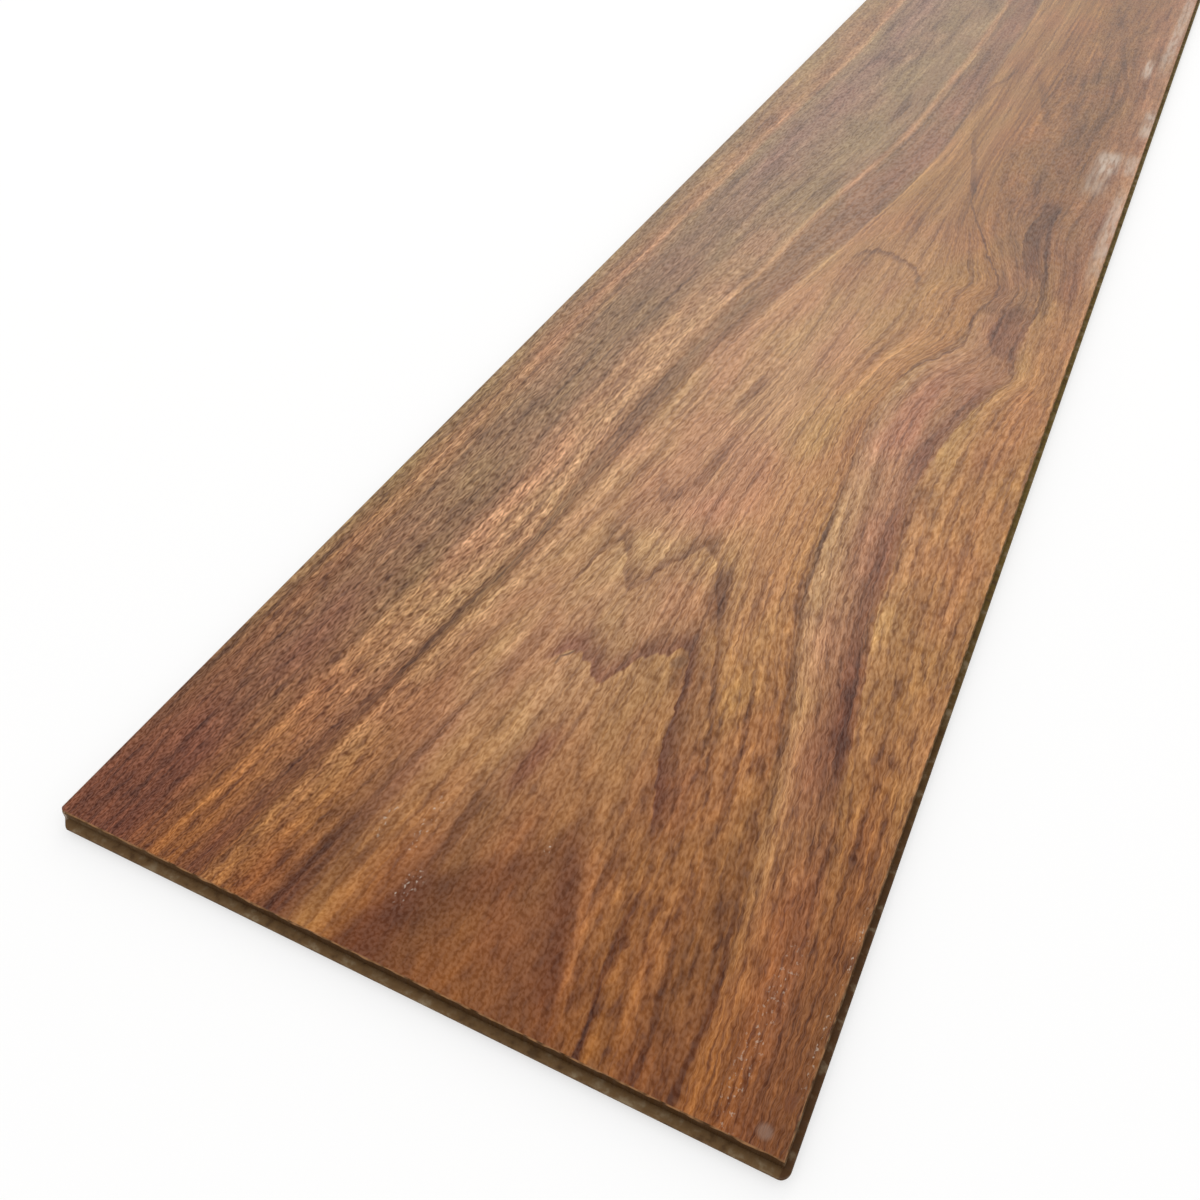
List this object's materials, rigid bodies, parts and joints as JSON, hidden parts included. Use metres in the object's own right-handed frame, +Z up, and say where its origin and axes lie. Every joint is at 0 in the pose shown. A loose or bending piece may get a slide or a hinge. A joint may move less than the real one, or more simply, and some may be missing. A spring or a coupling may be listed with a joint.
{
  "type": "vinyl floor plank",
  "caption": "Long flat rigid vinyl floor plank with a walnut-look printed face, eased top edges and a click tongue and groove milled around its edges.",
  "frame": {"origin": "on the underside, at the centre of the box around the plank", "axes": "+X across the plank towards the tongue's long side, +Y along it away from the tongue end, +Z up out of the printed face"},
  "size_m": [0.1842, 1.2246, 0.005],
  "materials": {
    "plank": "satin walnut print with a fine pore emboss on the face, bare olive-brown core on the edges"
  },
  "bodies": {
    "root": {"plank": "plank"}
  },
  "joints": []
}
